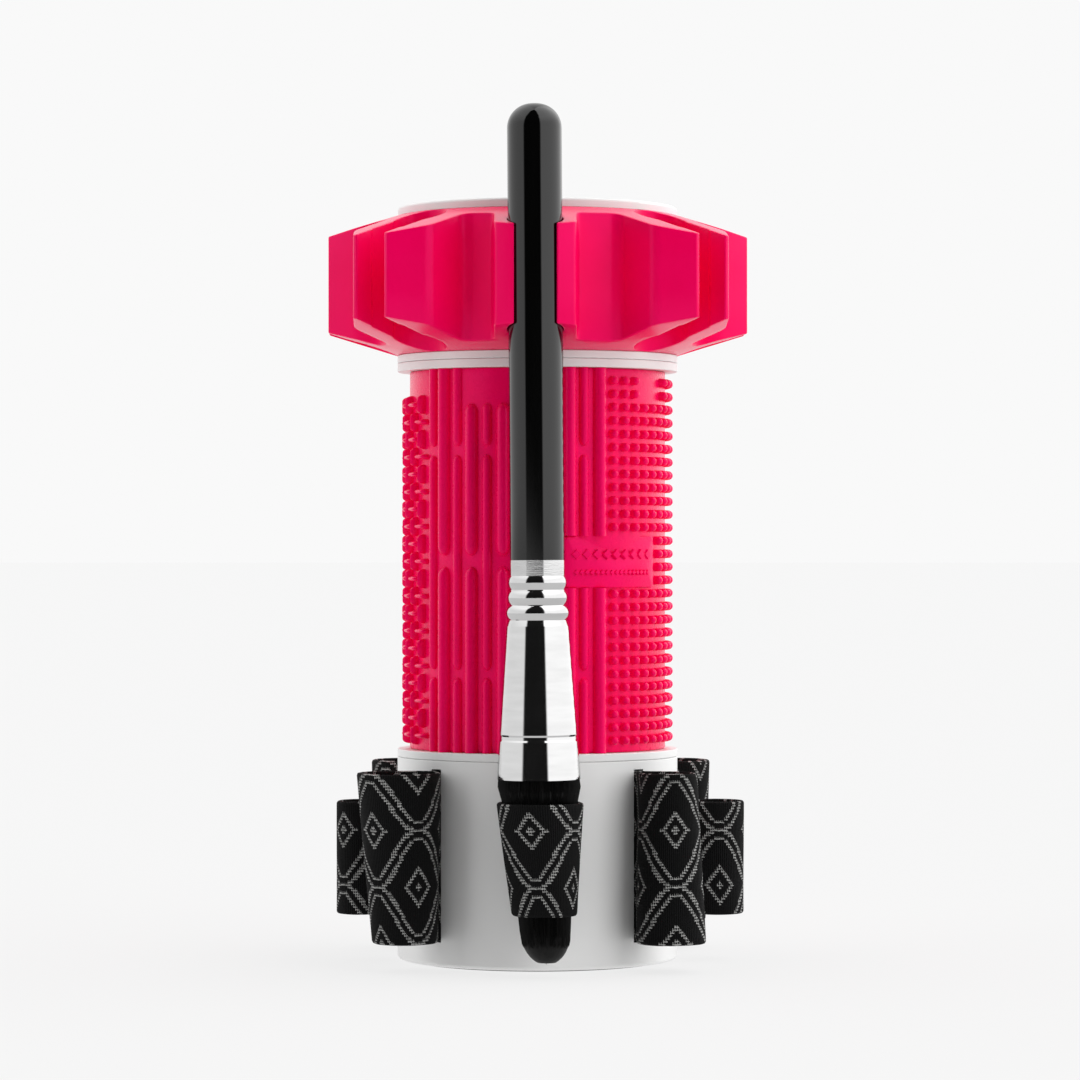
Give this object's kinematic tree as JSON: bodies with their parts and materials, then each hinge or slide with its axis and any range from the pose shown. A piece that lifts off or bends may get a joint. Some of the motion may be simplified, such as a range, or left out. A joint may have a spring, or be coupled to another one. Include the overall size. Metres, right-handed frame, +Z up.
{
  "type": "brush cleaner",
  "caption": "Upright tower for washing and drying makeup brushes: base with elastic loops, column in a textured silicone mat, soft slotted collar that grips handles.",
  "frame": {"origin": "on the ground under the middle of the base", "axes": "+Z up along the column; the held brush stands at the front, -Y; +X to its right as seen from the front"},
  "size_m": [0.095, 0.1003, 0.19],
  "materials": {
    "white_plastic": "satin moulded",
    "pink_silicone": "smooth silicone, slight sheen",
    "black_elastic": "ribbed knit elastic with a woven grey pattern",
    "pad_rubber": "matt",
    "screw_steel": "zinc plated",
    "black_lacquer": "gloss black lacquer",
    "ferrule_chrome": "polished",
    "black_fibre": "straight synthetic bristles",
    "glue": "set epoxy"
  },
  "bodies": {
    "base": {"base_shell": "white_plastic", "base_floor": "white_plastic", "floor_screws": "screw_steel", "foot_pad": "pad_rubber", "anchor_drum": "white_plastic", "loop_short_front": "black_elastic", "loop_short_right": "black_elastic", "loop_short_back": "black_elastic", "loop_short_left": "black_elastic", "loop_tall_front_right": "black_elastic", "loop_tall_back_right": "black_elastic", "loop_tall_back_left": "black_elastic", "loop_tall_front_left": "black_elastic"},
    "column": {"column_body": "white_plastic", "column_cap": "white_plastic", "cleaning_mat": "pink_silicone"},
    "head": {"head_core": "white_plastic", "head_cap": "white_plastic", "collar": "pink_silicone"},
    "brush": {"brush_handle": "black_lacquer", "brush_ferrule": "ferrule_chrome", "brush_knot": "glue", "brush_bristles": "black_fibre"}
  },
  "joints": [
    {"name": "column_lift", "type": "slide", "parent": "base", "child": "column", "axis": [0, 0, 1], "range_m": [0, 0.05]},
    {"name": "head_lift", "type": "slide", "parent": "column", "child": "head", "axis": [0, 0, 1], "range_m": [0, 0.06]},
    {"name": "brush_lift", "type": "slide", "parent": "head", "child": "brush", "axis": [-0.007, 0, 1], "range_m": [0, 0.045]}
  ]
}
